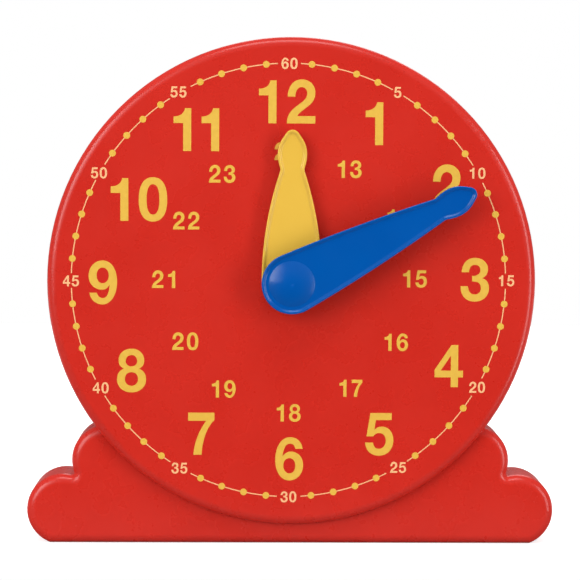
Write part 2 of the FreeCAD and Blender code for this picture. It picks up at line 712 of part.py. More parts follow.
def arbor_clip():
    """The open retaining clip in the arbor's groove, behind the bridge."""
    body = turn_with_hand(new_body("arbor_clip", up=MIDDLE), "sizes.minute_angle")
    back, front = "places.clip_back", "places.clip_front"
    add_slab(body, "clip", back, front,
             lambda sketch: circle(sketch, "0", "0", "sizes.clip_radius"))
    cut_slab(body, "clip_bore", back, front, lambda sketch: circle(
        sketch, "0", "0", "sizes.arbor_radius - sizes.clip_groove"))
    cut_slab(body, "clip_opening", back, front, lambda sketch: rectangle(
        sketch, "-sizes.clip_mouth", "sizes.clip_mouth", "-2 * sizes.clip_radius", "0"))
    return keep_body(body)


def lightened(gear, hub, root, back, front):
    """Drills the ring of round holes, two thirds as wide as the web between hub and teeth."""
    count = round(value("sizes.web_holes"))
    middle = (hub + root) / 2
    radius = (root - hub) / 3
    for index in range(count):
        angle = TURN * (index + 0.5) / count
        gear = gear.cut(disc_solid(radius, back, front, middle * math.sin(angle),
                                   middle * math.cos(angle)))
    return gear


def root_radius(teeth):
    """Radius at the bottom of the tooth spaces, 1.25 modules inside the pitch circle."""
    return value("sizes.gear_module") * (teeth / 2 - 1.25)


def wheel_solid(teeth, bore, back, front, tooth_at):
    """A wheel with a keyed bore and lightening holes."""
    margin = value("sizes.web_margin")
    gear = gear_blank(teeth, back, front, tooth_at)
    gear = lightened(gear, bore + margin, root_radius(teeth) - margin, back, front)
    return gear.cut(keyed_solid(bore, value("sizes.flat_depth"), back, front))


def minute_pinion(unit):
    """The pinion keyed to the arbor; at rest one of its teeth points to the stud."""
    back, front = value("places.pinion_back"), value("places.wheel_front")
    gear = gear_blank(5 * unit, back, front, 0.5 - value("sizes.minute_angle") / 360)
    key = keyed_solid(value("sizes.arbor_radius"), value("sizes.flat_depth"), back, front)
    return keep_feature("minute_pinion", gear.cut(key), up=MIDDLE, angle="sizes.minute_angle")


# ---- the intermediate wheel ------------------------------------------------------------------


def intermediate_wheel(unit):
    """Fifteen units of teeth, with a tooth space towards the minute pinion."""
    back, front = value("places.wheel_back"), value("places.wheel_front")
    teeth = 15 * unit
    wheel = wheel_solid(teeth, value("sizes.shank_radius"), back, front, 0.5 / teeth)
    return keep_feature("intermediate_wheel", wheel, up="places.stud_height")


def intermediate_pinion(unit):
    """Four units of teeth, one of them towards the hour wheel, with the wheel's keyed shank."""
    back = value("places.bridge_front + sizes.play")
    seat = value("places.wheel_front")
    front = value("places.stud_washer_back - sizes.play")
    shank = keyed_solid(value("sizes.shank_radius"), value("sizes.flat_depth"), back, seat)
    pinion = gear_blank(4 * unit, seat, front, 0).fuse(shank)
    pinion = pinion.cut(disc_solid(value("places.bore_of_pinion"), back, front))
    return keep_feature("intermediate_pinion", pinion, up="places.stud_height")


# ---- pieces that turn with the hour hand -----------------------------------------------------


def hour_wheel(unit):
    """Sixteen units of teeth, with a tooth space towards the intermediate pinion."""
    back, front = value("places.hour_wheel_back"), value("places.hour_wheel_front")
    teeth = 16 * unit
    tooth_at = 0.5 + 0.5 / teeth - value("sizes.hour_angle") / 360
    wheel = wheel_solid(teeth, value("sizes.pipe_radius"), back, front, tooth_at)
    return keep_feature("hour_wheel", wheel, up=MIDDLE, angle="sizes.hour_angle")


def hour_pipe():
    """The tube round the arbor that joins the hour wheel to the hour hand."""
    body = turn_with_hand(new_body("hour_pipe", up=MIDDLE), "sizes.hour_angle")
    bore, radius = "places.bore_of_pipe", "sizes.pipe_radius"
    back, front = "places.hour_wheel_back", "places.pipe_front"
    turn(body, "tube", [(bore, back), (radius, back), (radius, front), (bore, front)])
    driving_flat(body, "hand_flat", radius, "places.hour_boss_back", front)
    driving_flat(body, "wheel_flat", radius, back, "places.hour_wheel_front")
    return keep_body(body)


# ---- hands -----------------------------------------------------------------------------------


def direction(angle):
    """Unit vector in the front view, `angle` turned from +X towards +Z."""
    return Vector(math.cos(angle), 0, math.sin(angle))


def angle_of(vector):
    return math.atan2(vector.z, vector.x)


def touching_circle(first, first_reach, second, second_reach):
    """The outer point at given distances from two points: the crossing of two circles."""
    across = second - first
    distance = across.Length
    along = (first_reach ** 2 - second_reach ** 2 + distance ** 2) / (2 * distance)
    aside = math.sqrt(first_reach ** 2 - along ** 2)
    across.normalize()
    return first + across * along + Vector(across.z, 0, -across.x) * aside


def hand_arcs(neck_reach, side_radius):
    """The right side of a hand that points to +Z, from its hub to its nose.

    Each entry is (centre, radius, start angle, end angle) of one arc; a negative radius marks the
    hollow arc of the neck.  Neighbouring arcs share a normal, so they run on smoothly, and the
    gap before the nose is closed by a straight line along their common tangent."""
    hub = value("sizes.hub_radius")
    neck = Vector(value("sizes.neck_half_width"), 0, neck_reach)
    belly = value("sizes.belly_half_width")
    lower, upper = value("sizes.lower_belly_radius"), value("sizes.upper_belly_radius")
    hollow, nose = value("sizes.neck_rounding"), value("sizes.nose_radius")

    rise = math.sqrt(lower ** 2 - (lower - belly + neck.x) ** 2)
    lower_centre = Vector(belly - lower, 0, neck.z + rise)
    upper_centre = Vector(belly - upper, 0, neck.z + rise)
    nose_centre = Vector(0, 0, neck.z + value("sizes.tip_from_neck") - nose)
    side_centre = touching_circle(neck, side_radius, Vector(0, 0, 0), side_radius - hub)
    neck_centre = touching_circle(side_centre, side_radius + hollow,
                                  lower_centre, lower + hollow)

    to_nose = nose_centre - upper_centre
    tangent = angle_of(to_nose) - math.acos((upper - nose) / to_nose.Length)
    at_hub = angle_of(-side_centre)
    at_side = angle_of(neck_centre - side_centre)
    at_belly = angle_of(neck_centre - lower_centre)
    return [(Vector(0, 0, 0), hub, -math.pi / 2, at_hub),
            (side_centre, side_radius, at_hub, at_side),
            (neck_centre, -hollow, at_side, at_belly),
            (lower_centre, lower, at_belly, 0),
            (upper_centre, upper, 0, tangent),
            (nose_centre, nose, tangent, math.pi / 2)]


def hand_outline(neck_reach, side_radius, inset=0.0):
    """The closed outline of a hand, drawn in by `inset` all round."""
    arcs = hand_arcs(neck_reach, side_radius)

    def point(arc, angle):
        centre, radius = arc[:2]
        return centre + direction(angle) * (radius - inset)

    def left(vector):
        return Vector(-vector.x, 0, vector.z)

    hub, nose = arcs[0], arcs[-1]
    sides = [[point(arc, arc[2]), point(arc, (arc[2] + arc[3]) / 2), point(arc, arc[3])]
             for arc in arcs[1:-1]]
    foot, tip = point(hub, hub[2]), point(nose, nose[3])
    from_hub, to_line, from_line = sides[0][0], sides[-1][2], point(nose, nose[2])
    edges = [Part.Arc(left(from_hub), foot, from_hub)]
    edges += [Part.Arc(*side) for side in sides]
    edges += [Part.LineSegment(to_line, from_line), Part.Arc(from_line, tip, left(from_line)),
              Part.LineSegment(left(from_line), left(to_line))]
    edges += [Part.Arc(left(side[2]), left(side[1]), left(side[0])) for side in sides[::-1]]
    return Part.Wire([edge.toShape() for edge in edges])


def front_rings(solid, front):
    """The outer and the inner ring of edges of the flat face that lies at one front value."""
    [face] = [f for f in solid.Faces if f.BoundBox.YLength < NEAR
              and abs(f.BoundBox.YMin + front) < NEAR]
    [inner] = [wire for wire in face.Wires if not wire.isSame(face.OuterWire)]
    return face.OuterWire.Edges, inner.Edges


def hand_plate(neck_reach, side_radius, back, front):
    """The plate of a hand: a raised rim that slopes softly down to the floor inside it."""
    def layer(inset, end):
        outline = Part.Face(hand_outline(neck_reach, side_radius, inset))
        return outline.translated(Vector(0, -back, 0)).extrude(ALONG_FRONT * (end - back))

    depth, soft = value("sizes.hand_recess"), value("sizes.rim_softness")
    bend = soft * math.tan(CHAMFER_SLOPE / 2)
    land_end = value("sizes.rim_rounding") + value("sizes.rim_land") + bend
    rim = layer(0, front).cut(layer(land_end + depth, front))
    rim = rim.makeChamfer(depth, front_rings(rim, front)[1])
    rim = rim.makeFillet(soft, front_rings(rim, front)[1])
    rim = rim.makeFillet(value("sizes.rim_rounding"), front_rings(rim, front)[0])
    plate = rim.fuse(layer(land_end, front - depth)).removeSplitter()
    at_foot = on_front_plane(str(front - depth))
    return plate.makeFillet(soft, [edge for edge in plate.Edges if at_foot(edge)])


def hour_hand():
    """The short hand, keyed to the front end of the hour pipe."""
    back, front = value("places.hour_hand_back"), value("places.hour_hand_front")
    boss_back = value("places.hour_boss_back")
    hand = hand_plate(value("sizes.hour_neck"), value("sizes.hour_side_radius"), back, front)
    boss = disc_solid(value("sizes.hub_boss_radius"), boss_back, front)
    key = keyed_solid(value("sizes.pipe_radius"), value("sizes.flat_depth"), boss_back, front)
    return keep_feature("hour_hand", hand.fuse(boss).cut(key).removeSplitter(), up=MIDDLE,
                        angle="sizes.hour_angle")


def dome_solid(back, front):
    """A round boss whose bowed top starts at the floor of the hand, its crown at the front value."""
    radius = value("sizes.dome_radius")
    crown = value("sizes.dome_crown")
    sphere = (radius ** 2 + crown ** 2) / (2 * crown)
    boss = disc_solid(radius, back, front)
    return boss.common(Part.makeSphere(sphere, Vector(0, sphere - front, 0), Vector(0, 1, 0)))


def minute_hand():
    """The long hand, keyed to the front end of the arbor under its closed dome."""
    back, front = value("places.minute_hand_back"), value("places.minute_hand_front")
    boss_back, arbor_front = value("places.minute_boss_back"), value("places.arbor_front")
    hand = hand_plate(value("sizes.minute_neck"), value("sizes.minute_side_radius"), back, front)
    boss = disc_solid(value("sizes.hub_boss_radius"), boss_back, front)
    dome = dome_solid((back + front) / 2, value("places.dome_front"))
    key = keyed_solid(value("sizes.arbor_radius"), value("sizes.flat_depth"), boss_back,
                      arbor_front)
    hand = hand.fuse([boss, dome]).cut(key).removeSplitter()
    return keep_feature("minute_hand", hand, up=MIDDLE, angle="sizes.minute_angle")


# ---- the whole clock -------------------------------------------------------------------------


def build():
    unit = round(value("sizes.tooth_unit"))
    front_housing()
    rear_cover()
    master = screw()
    cover_screws(master)
    bridge_screws(master)
    movement_bridge()
    dial_bush()
    ring("hour_washer", "places.bore_of_bush", "sizes.bush_flange_radius",
         "places.hour_washer_back", "places.hour_washer_back + sizes.washer_thickness")
    intermediate_stud()
    ring("stud_washer", "places.bore_of_pinion", "sizes.stud_boss_radius",
         "places.stud_washer_back", "places.stud_washer_back + sizes.washer_thickness",
         up="places.stud_height")
    friction_washer()
    ring("clip_washer", "places.bore_of_pipe", "sizes.bearing_boss_radius",
         "places.clip_washer_back", "places.clip_washer_back + sizes.washer_thickness")
    minute_arbor()
    arbor_clip()
    minute_pinion(unit)
    minute_hand()
    intermediate_wheel(unit)
    intermediate_pinion(unit)
    hour_wheel(unit)
    hour_pipe()
    hour_hand()


def check():
    """Stops before anything is written if an object failed or a piece is not a sound solid."""
    doc.recompute()
    for item in doc.Objects:
        if "Invalid" in item.State or "Error" in item.State:
            raise RuntimeError("%s failed to build" % item.Label)
    for part in parts:
        if part.Shape.isNull() or not part.Shape.isValid() or not part.Shape.Solids:
            raise RuntimeError("%s is not a sound solid" % part.Label)


def export():
    os.makedirs("parts", exist_ok=True)
    for part in parts:
        part.Shape.exportStep(os.path.join("parts", part.Label + ".step"))
        print(part.Label, len(part.Shape.Solids), round(part.Shape.Volume, 1))


build()
check()
export()
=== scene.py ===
# %% [markdown]
# # A geared teaching clock, from bare solids to plastic, print and light
#
# The solids of the clock come from its CAD model: a red shell with its cover, two hands, and the
# motion work behind the dial that turns the hour hand at a twelfth of the minute hand's pace. This
# lesson leaves those solids where they are and gives each one the finish of its real material.
# Then it prints what the solids leave out, the figures and the minute track, and sets the clock in
# a small studio.

# %% Load the solids
import json
import math

import bmesh
import bpy
import numpy as np
from mathutils import Matrix, Vector


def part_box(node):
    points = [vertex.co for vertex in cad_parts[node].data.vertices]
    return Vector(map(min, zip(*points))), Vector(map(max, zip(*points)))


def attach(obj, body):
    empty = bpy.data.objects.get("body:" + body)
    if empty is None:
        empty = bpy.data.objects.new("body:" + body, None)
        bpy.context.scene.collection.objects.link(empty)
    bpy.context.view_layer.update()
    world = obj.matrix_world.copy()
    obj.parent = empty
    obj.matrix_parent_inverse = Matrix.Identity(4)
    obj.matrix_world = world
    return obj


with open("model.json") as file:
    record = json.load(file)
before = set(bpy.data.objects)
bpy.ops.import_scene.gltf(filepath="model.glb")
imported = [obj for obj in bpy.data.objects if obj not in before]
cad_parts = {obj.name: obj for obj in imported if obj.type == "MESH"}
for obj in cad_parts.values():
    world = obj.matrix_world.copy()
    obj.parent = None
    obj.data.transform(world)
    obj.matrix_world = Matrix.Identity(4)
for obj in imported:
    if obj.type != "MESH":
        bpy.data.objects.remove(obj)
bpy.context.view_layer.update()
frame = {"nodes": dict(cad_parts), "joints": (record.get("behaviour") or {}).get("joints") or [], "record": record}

MM = 0.001
nodes = frame["nodes"]

# %% [markdown]
# ## Where things are
#
# Both hands turn about one axis that runs straight out of the dial. Everything on the dial is
# placed from that axis, in millimetres to the right and up, as a printer would place it from a
# register mark. The axis height comes from the minute hand's joint in the record, and the dial's
# front face is read from the shell, whose foremost point it is.

# %% The axis and the dial's face
joints = {joint["name"]: joint for joint in frame["joints"]}
AXIS_UP = joints["minute_turn"]["pos_m"][2]
STUD_UP = joints["intermediate_turn"]["pos_m"][2]
DIAL_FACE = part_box("front_housing")[0][1]
print("axis", round(AXIS_UP / MM, 2), "mm up, dial face", round(DIAL_FACE / MM, 2), "mm in y")

# %% [markdown]
# ## Tools for finishes
#
# A finish is a small network of nodes. One function adds a node, gives it its settings, fills its
# sockets and links those that are given another node's output, so each finish below reads as a
# short list. Colours are written as the hex values a painter picks on a screen. The renderer
# computes with light instead, so `linear` undoes the screen's curve.

# %% Colour and node helpers
def linear(hex_colour):
    """Screen colour to light: c / 12.92 up to 0.04045, ((c + 0.055) / 1.055) ** 2.4 above it."""
    screen = np.array([int(hex_colour[i:i + 2], 16) for i in (1, 3, 5)]) / 255
    light = np.where(screen <= 0.04045, screen / 12.92, ((screen + 0.055) / 1.055) ** 2.4)
    return (*light.tolist(), 1.0)


def add(tree, kind, inputs=None, **settings):
    """Adds one node: settings by name, sockets as plain values or as another node's output."""
    made = tree.nodes.new("ShaderNode" + kind)
    for name, value in settings.items():
        setattr(made, name, value)
    for name, value in (inputs or {}).items():
        if isinstance(value, bpy.types.NodeSocket):
            tree.links.new(value, made.inputs[name])
        else:
            made.inputs[name].default_value = value
    return made


def new_finish(name):
    """A material with an empty network, and that network."""
    material = bpy.data.materials.new(name)
    material.use_nodes = True
    material.node_tree.nodes.clear()
    return material, material.node_tree


# noise hardly ever leaves this range
NOISE_LOW, NOISE_HIGH = 0.3, 0.7


def blotches(tree, across_mm, detail=2.0):
    """Soft noise in the object's own coordinates, with blotches about across_mm wide."""
    where = add(tree, "TexCoord").outputs["Object"]
    noise = add(tree, "TexNoise", {
        "Vector": where, "Scale": 1 / (across_mm * MM), "Detail": detail})
    return noise.outputs["Fac"]


def spread(tree, factor, low, high):
    """A number that runs from low to high as the factor runs over the range of noise."""
    made = add(tree, "MapRange", {"Value": factor, "From Min": NOISE_LOW, "From Max": NOISE_HIGH,
                                  "To Min": low, "To Max": high})
    return made.outputs["Result"]


def shades(tree, factor, *hex_colours):
    """A colour that runs through the given shades as the factor runs over the range of noise."""
    made = add(tree, "ValToRGB", {"Fac": factor})
    stops = made.color_ramp.elements
    while len(stops) < len(hex_colours):
        stops.new(0.5)
    positions = np.linspace(NOISE_LOW, NOISE_HIGH, len(hex_colours))
    for stop, position, colour in zip(stops, positions, hex_colours):
        stop.position, stop.color = position, linear(colour)
    return made.outputs["Color"]


def relief(tree, height, depth_mm):
    """The normals of a surface that rises by depth_mm where height goes from 0 to 1."""
    return add(tree, "Bump", {"Height": height, "Distance": depth_mm * MM}).outputs["Normal"]


def surface(tree, shader):
    add(tree, "OutputMaterial", {"Surface": shader.outputs[0]})


print("mid grey on the screen, #808080, is", round(linear("#808080")[0], 3), "as light")

# %% [markdown]
# ## Moulded ABS: the shell and the hands
#
# Shell, cover and hands are injection-moulded ABS, coloured through. The steel mould is polished,
# so the plastic comes out satin-glossy: a soft, broad highlight over a deep flat colour. Up close
# it isn't perfect. The pigment flows a little unevenly, the gloss varies where the skin froze
# sooner, and the surface carries the mould's faint orange peel. Each of these is one slow or fine
# noise. Real peel is finer than a millimetre. It is drawn 1.2 mm wide and 0.0015 mm deep, and only
# softens the edge of a highlight.

# %% Moulded ABS
ABS_IOR = 1.54
FLOW_MM, PATCH_MM, PEEL_MM, PEEL_DEPTH_MM = 40, 12, 1.2, 0.0015
ABS_UNEVENNESS = 0.025


def moulded_abs(name, darker, lighter, roughness):
    """Opaque glossy plastic with pigment flow, patches of different gloss, and orange peel."""
    material, tree = new_finish(name)
    surface(tree, add(tree, "BsdfPrincipled", {
        "Base Color": shades(tree, blotches(tree, FLOW_MM), darker, lighter),
        "Roughness": spread(tree, blotches(tree, PATCH_MM, 4.0),
                            roughness - ABS_UNEVENNESS, roughness + ABS_UNEVENNESS),
        "Normal": relief(tree, blotches(tree, PEEL_MM), PEEL_DEPTH_MM),
        "IOR": ABS_IOR}))
    return material


finishes = {
    "shell_red": moulded_abs("injection_moulded_ABS_red", "#cf281c", "#d42c20", 0.28),
    "hand_blue": moulded_abs("injection_moulded_ABS_blue", "#0053a8", "#0058ae", 0.2),
    "hand_yellow": moulded_abs("injection_moulded_ABS_yellow", "#e9ba44", "#edbf4b", 0.22),
}
print("moulded plastics:", *(finish.name for finish in finishes.values()))

# %% [markdown]
# ## Acetal and glass-filled nylon: wheels and bridge
#
# The wheels and pinions are natural acetal, the waxy off-white plastic that runs without oil.
# Light goes a little way into it, so its teeth look soft at their edges: a small amount of
# subsurface scattering gives that. The bridge is dark glass-filled nylon, moulded in a mould
# etched to a fine matt grain.

# %% Acetal and nylon
def natural_acetal(name):
    """Waxy white plastic: scattering over half a millimetre under a satin skin."""
    material, tree = new_finish(name)
    surface(tree, add(tree, "BsdfPrincipled", {
        "Base Color": shades(tree, blotches(tree, 15), "#e6e2d6", "#eeebe1"),
        "Roughness": spread(tree, blotches(tree, 6), 0.36, 0.44),
        "Normal": relief(tree, blotches(tree, 0.8), 0.002),
        "Subsurface Weight": 0.25, "Subsurface Scale": 0.5 * MM, "IOR": 1.48}))
    return material


def glass_filled_nylon(name):
    """Dark matt plastic: an etched grain 0.6 mm wide, with pale fibre flecks near the surface."""
    material, tree = new_finish(name)
    surface(tree, add(tree, "BsdfPrincipled", {
        "Base Color": shades(tree, blotches(tree, 0.9, 6.0), "#26272a", "#303236", "#3b3d41"),
        "Roughness": spread(tree, blotches(tree, 5), 0.5, 0.62),
        "Normal": relief(tree, blotches(tree, 0.6, 4.0), 0.02),
        "IOR": 1.53}))
    return material


finishes["gear_acetal"] = natural_acetal("moulded_natural_acetal")
finishes["bridge_grey"] = glass_filled_nylon("moulded_glass_filled_nylon")
print("wheels:", finishes["gear_acetal"].name, "- bridge:", finishes["bridge_grey"].name)

# %% [markdown]
# ## Metals: turned, tempered and plated
#
# Bush and pipe are turned from brass, arbor and stud from steel. A turning tool leaves fine rings
# about the axis of the part, and those rings pull a highlight into a fan across the end face.
# Rings need a centre, so a Mapping node moves the pattern to the axis of arbor or stud. The tool's
# feed is about 0.05 mm; it is drawn as 0.4 mm so that it shows. The spring washer and the clip are
# tempered strip, brown to blue from the heat. The screws are zinc-plated: pale, a little bluish,
# with the patchy gloss of barrel plating.

# %% Metals
FEED_MM = 0.4
# a wave texture of scale 1 has this many rings in tau metres
WAVE_RINGS = 20
METAL_UNEVENNESS = 0.04


def turned_metal(name, darker, lighter, roughness, axis_up):
    """Metal with lathe rings, a sine of the distance from an axis along y at height axis_up."""
    material, tree = new_finish(name)
    where = add(tree, "TexCoord").outputs["Object"]
    centred = add(tree, "Mapping", {"Vector": where, "Location": (0, 0, -axis_up)}).outputs[0]
    scale = math.tau / (WAVE_RINGS * FEED_MM * MM)
    rings = add(tree, "TexWave", {"Vector": centred, "Scale": scale, "Distortion": 0.4},
                wave_type="RINGS", rings_direction="Y").outputs["Fac"]
    surface(tree, add(tree, "BsdfPrincipled", {
        "Base Color": shades(tree, blotches(tree, 3), darker, lighter),
        "Roughness": spread(tree, blotches(tree, 2, 4.0),
                            roughness - METAL_UNEVENNESS, roughness + METAL_UNEVENNESS),
        "Normal": relief(tree, rings, 0.004), "Metallic": 1.0}))
    return material


def tempered_strip(name):
    """Spring steel: heat colours run from straw to blue over a few millimetres."""
    material, tree = new_finish(name)
    surface(tree, add(tree, "BsdfPrincipled", {
        "Base Color": shades(tree, blotches(tree, 4), "#8a7660", "#77706e", "#626c7c"),
        "Roughness": spread(tree, blotches(tree, 1.5, 4.0), 0.28, 0.4),
        "Normal": relief(tree, blotches(tree, 0.5), 0.003), "Metallic": 1.0}))
    return material


def zinc_plate(name):
    """Plated steel: crystals half a millimetre wide vary the gloss, over a pale bluish metal."""
    material, tree = new_finish(name)
    where = add(tree, "TexCoord").outputs["Object"]
    crystals = add(tree, "TexVoronoi", {"Vector": where, "Scale": 1 / (0.5 * MM)})
    surface(tree, add(tree, "BsdfPrincipled", {
        "Base Color": shades(tree, blotches(tree, 2.5), "#bcc0c8", "#cfd1d2"),
        "Roughness": spread(tree, crystals.outputs["Distance"], 0.26, 0.4),
        "Normal": relief(tree, blotches(tree, 0.7), 0.004), "Metallic": 1.0}))
    return material


finishes["bearing_brass"] = turned_metal("turned_brass", "#c7a15a", "#d4b06a", 0.26, AXIS_UP)
finishes["pin_steel"] = turned_metal("turned_steel_on_arbor", "#a9abae", "#b9bbbd", 0.3, AXIS_UP)
finishes["spring_steel"] = tempered_strip("tempered_spring_steel")
finishes["screw_steel"] = zinc_plate("zinc_plated_steel")
stud_steel = turned_metal("turned_steel_on_stud", "#a9abae", "#b9bbbd", 0.3, STUD_UP)
print("finishes:", len(finishes), "and one more for the stud")

# %% [markdown]
# ## Give every solid its finish
#
# The record says which material slot each solid belongs to. The two steel parts on the stud take
# the rings that are centred there.

# %% Assign the finishes
for part in frame["record"]["subparts"]:
    on_stud = part["node"] in ("intermediate_stud", "stud_washer")
    materials = nodes[part["node"]].data.materials
    materials.clear()
    materials.append(stud_steel if on_stud else finishes[part["material_slot"]])

# %% [markdown]
# ## The figures: outlines first
#
# The figures are screen print: flat yellow ink in a plain upright grotesque. All sizes of figure
# on the dial are the same ten shapes, so each is drawn once, for figures 25 mm high, as closed
# outlines of a few points. `L` is a straight edge and `C` a free curve with two handles. `v` and
# `h` are quarter bows, which leave the last point upright or level and arrive the other way round:
# the places where a type designer puts points. Every edge becomes a cubic curve, and one array
# operation samples all of them at once.

# %% Outlines of the ten figures, in mm from each figure's left edge and baseline
FIGURES = {
    "0": "M0 12.5 v8.35 25.6 h16.7 12.5 v8.35 -0.4 h0 12.5 M4.6 12.5 v8.35 21.5 h12.1 12.5 v8.35"
         " 3.7 h4.6 12.5",
    "1": "M10.3 25 L10.3 0 L5.6 0 L5.6 16.3 L0 16.3 L0 20.1 C3 20.2 6 21.3 6.7 25",
    "2": "M0.5 15.6 v8.6 25.7 h16.6 18.1 C16.7 12.1 12.5 10.5 9.8 7.9 C8 6.8 6.8 5.5 6.1 4.3 L16.7"
         " 4.3 L16.7 0 L0 0 C0.3 6.2 3.3 8.2 6.7 10.9 C9.5 12.9 12 14.7 11.9 17.6 v8.6 21.2 h4.9"
         " 15.6",
    "3": "M0.6 16.9 C0.8 22.5 4.2 25.4 8.4 25.4 h16.1 18.7 C16 15.8 14.9 14.5 12.7 13.4 C15.6 12.8"
         " 16.8 10.2 16.8 7.4 v8.4 -0.4 C3.4 -0.4 0 2.8 0 8.7 L4.3 8.7 C4.7 5.5 6 3.8 8.5 3.8 h12"
         " 7.7 C11.9 10.4 10.3 11.4 8.2 11.4 L6.8 11.5 L6.8 14.8 C9.9 14.6 11.7 16.2 11.6 18.3 v8.5"
         " 21.3 C6.2 21.3 5 19.6 5 16.9",
    "4": "M9.9 25 L13.9 25 L13.9 9.8 L16.8 9.8 L16.8 5.8 L13.9 5.8 L13.9 0 L9.6 0 L9.6 5.8 L0 5.8"
         " L0 10.3 M9.6 18.7 L9.6 9.8 L3.6 9.8",
    "5": "M3 25 L15.6 25 L15.6 20.8 L6.3 20.8 L5.4 14.9 C7 16.6 8.1 16.9 10 16.9 h16.7 8.7 v8.2"
         " -0.4 C3.4 -0.4 0.3 2.7 0 7.4 L4.7 7.4 C5 5.1 6.1 3.7 8.1 3.7 h12.2 8.6 v8.2 13.1 C6.8"
         " 13.1 5.5 12.4 4.9 11.1 L0.8 11.1",
    "6": "M8.6 25.4 C12.6 25.4 15.6 23 16.2 18.5 L11.9 18.5 C11.2 20.7 10.4 21.5 8.7 21.5 C6.4"
         " 21.5 5 19.2 4.2 13.9 C5.8 15.9 7.2 16.8 9.2 16.8 h16.5 8.8 v8.2 -0.4 h0 11.8 v8.6 25.4"
         " M4.8 8.5 v8.5 12.9 h11.9 8.5 v8.5 3.8 h4.8 8.5",
    "7": "M0 25 L15.5 25 L15.5 20.7 C11.3 16.5 8.3 8.7 8 0 L3.1 0 C3.8 7.8 6.4 14.2 10.7 20.2 L0"
         " 20.2",
    "8": "M8.5 25.5 h16 18.7 C16 16.1 15.2 14.8 12.9 13.6 C15.6 12.7 17.1 10.5 17.1 7.2 v8.5 -0.4"
         " h0 7.2 C0 10.5 1.4 12.7 4.1 13.6 C1.8 14.8 1 16.1 1 18.7 v8.5 25.5 M8.5 21.7 h5.1 18.1"
         " v8.5 15 h11.9 18.1 v8.5 21.7 M8.5 11.6 h4.6 7.6 v8.5 3.5 h12.4 7.6 v8.5 11.6",
    "9": "M8.4 25.5 h16.7 13.2 v8.1 -0.4 C4 -0.4 1 2.5 0.4 6.5 L4.8 6.5 C5.3 4.8 6.3 3.4 8.3 3.4"
         " C10.6 3.4 12 6.1 12.3 11.1 C10.7 9 9.8 8.3 7.8 8.3 h0 16.4 v8.4 25.5 M4.7 16.7 v8.1 21.3"
         " h11.8 16.7 v8.1 12.1 h4.7 16.7",
}
# how full a quarter bow is: 0.552 is a plain ellipse, and more is squarer
FULLNESS = {"0": 0.65}
USUAL_FULLNESS = 0.58
STEPS = 12


def edge(kind, start, values, fullness):
    """One edge as the four control points of a cubic curve. A straight edge is split in thirds."""
    points = np.array(values).reshape(-1, 2)
    end = points[-1]
    reach = end - start
    if kind == "C":
        return np.array([start, *points])
    if kind == "L":
        return np.array([start, start + reach / 3, start + 2 * reach / 3, end])
    leave = np.array([0, reach[1]]) if kind == "v" else np.array([reach[0], 0])
    return np.array([start, start + fullness * leave, end - fullness * (reach - leave), end])


def outlines(figure):
    """The figure's closed outlines as arrays of points. A cubic curve's point at t is the sum of
    its control points weighted by (1-t)^3, 3t(1-t)^2, 3t^2(1-t) and t^3."""
    t = np.arange(STEPS) / STEPS
    weights = np.stack([(1 - t) ** 3, 3 * t * (1 - t) ** 2, 3 * t ** 2 * (1 - t), t ** 3], axis=1)
    closed = []
    for contour in FIGURES[figure].split("M")[1:]:
        for letter in "LCvh":
            contour = contour.replace(letter, f" {letter} ")
        words = contour.split()
        here, edges, at = np.array([float(w) for w in words[:2]]), [], 2
        while at < len(words):
            count = 6 if words[at] == "C" else 2
            values = [float(w) for w in words[at + 1:at + 1 + count]]
            fullness = FULLNESS.get(figure, USUAL_FULLNESS)
            edges.append(edge(words[at], here, values, fullness))
            here, at = edges[-1][-1], at + 1 + count
        if not np.allclose(here, edges[0][0]):
            edges.append(edge("L", here, edges[0][0], 0))
        points = np.einsum("tk,ekc->etc", weights, np.array(edges))
        straight = np.array([np.allclose(e[1], e[0] + (e[3] - e[0]) / 3) for e in edges])
        keep = ~straight[:, None] | (np.arange(STEPS) == 0)
        closed.append(points[keep])
    return closed


shapes = {figure: outlines(figure) for figure in FIGURES}
print("points per figure:", {figure: sum(map(len, loops)) for figure, loops in shapes.items()})

# %% [markdown]
# ## From outlines to ink
#
# A print has no thickness to speak of, but a surface that lies exactly in the dial's face would
# flicker against it, so the ink stands 0.06 mm proud and reaches 0.02 mm into the face. A flat
# curve is the simplest way to fill outlines that have holes: Blender fills it, gives it its
# thickness and turns it into a mesh. It is drawn in whole millimetres, laid down with x to the
# right and y up, then scaled and stood up against the dial. After that its doubled edge points are
# merged and its faces turned outwards.

# %% Print outlines on the dial
INK_PROUD_MM = 0.06
INK_SUNK_MM = 0.02
MERGE_MM = 0.002


